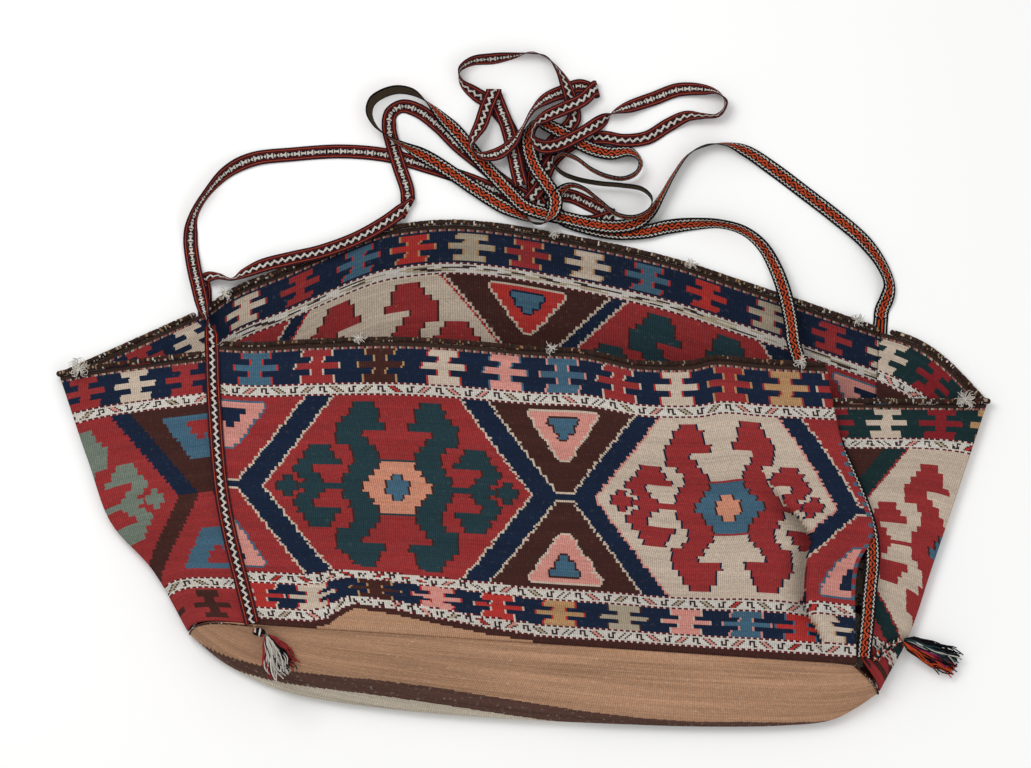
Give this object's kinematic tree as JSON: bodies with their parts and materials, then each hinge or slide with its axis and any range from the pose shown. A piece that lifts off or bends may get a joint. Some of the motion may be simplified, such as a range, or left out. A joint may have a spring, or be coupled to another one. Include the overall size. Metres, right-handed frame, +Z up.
{
  "type": "tribal bag",
  "caption": "Flat-woven wool bedding bag lying on its back, with patterned walls, a plain striped base, bound mouth, long woven bands and tassels.",
  "frame": {"origin": "on the floor, under the middle of the bag without its loose bands", "axes": "+Z up, +Y from the base towards the mouth, +X along the bag to the right as one looks at the front wall"},
  "size_m": [1.5182, 1.1444, 0.1356],
  "materials": {
    "patterned_kilim": "flat-woven wool in red, navy, cream, pink, blue and brown, ribbed",
    "plain_striped_kilim": "flat-woven tan wool with dark brown and cream stripes",
    "overcast_edging": "dark brown wool overcasting",
    "zigzag_band": "woven band, white zigzag on black with purple and orange lines",
    "orange_band": "woven band, orange scroll on black with white and black edges",
    "tassel_wool": "black, white, red, orange and blue yarns",
    "white_cotton": "loose white cotton yarn"
  },
  "bodies": {
    "bag_body": {"back_panel": "patterned_kilim", "base_panel": "plain_striped_kilim", "left_end_panel": "patterned_kilim", "right_end_panel": "patterned_kilim", "base_left_seam": "overcast_edging", "base_right_seam": "overcast_edging", "back_mouth_binding": "overcast_edging", "left_end_binding": "overcast_edging", "right_end_binding": "overcast_edging", "zigzag_band_back_seam": "zigzag_band", "orange_band_back_seam": "orange_band", "left_band_knot": "tassel_wool", "right_band_plait": "tassel_wool", "back_lacing_tuft_1": "white_cotton", "back_lacing_tuft_2": "white_cotton", "back_lacing_tuft_3": "white_cotton", "back_lacing_tuft_4": "white_cotton", "left_tip_tuft": "white_cotton", "right_tip_tuft": "white_cotton", "zigzag_band_loop": "zigzag_band", "orange_band_loop": "orange_band"},
    "front_wall": {"front_panel": "patterned_kilim", "front_mouth_binding": "overcast_edging", "zigzag_band_front_seam": "zigzag_band", "orange_band_front_seam": "orange_band", "front_lacing_tuft_1": "white_cotton", "front_lacing_tuft_2": "white_cotton", "front_lacing_tuft_3": "white_cotton"},
    "left_tassel": {"left_tassel": "tassel_wool"},
    "right_tassel": {"right_tassel": "tassel_wool"}
  },
  "joints": [
    {"name": "front_wall_lift", "type": "hinge", "parent": "bag_body", "child": "front_wall", "pos_m": [-0.43018, -0.28115, 0.137], "axis": [0.9965, -0.0536, -0.0643], "range_deg": [0, 30]},
    {"name": "left_tassel_swing", "type": "hinge", "parent": "bag_body", "child": "left_tassel", "pos_m": [-0.40629, -0.2994, 0.12579], "axis": [-0.8811, -0.4729, 0], "range_deg": [0, 60]},
    {"name": "right_tassel_swing", "type": "hinge", "parent": "bag_body", "child": "right_tassel", "pos_m": [0.61168, -0.28637, 0.03614], "axis": [-0.4067, -0.9135, 0], "range_deg": [0, 45]}
  ]
}
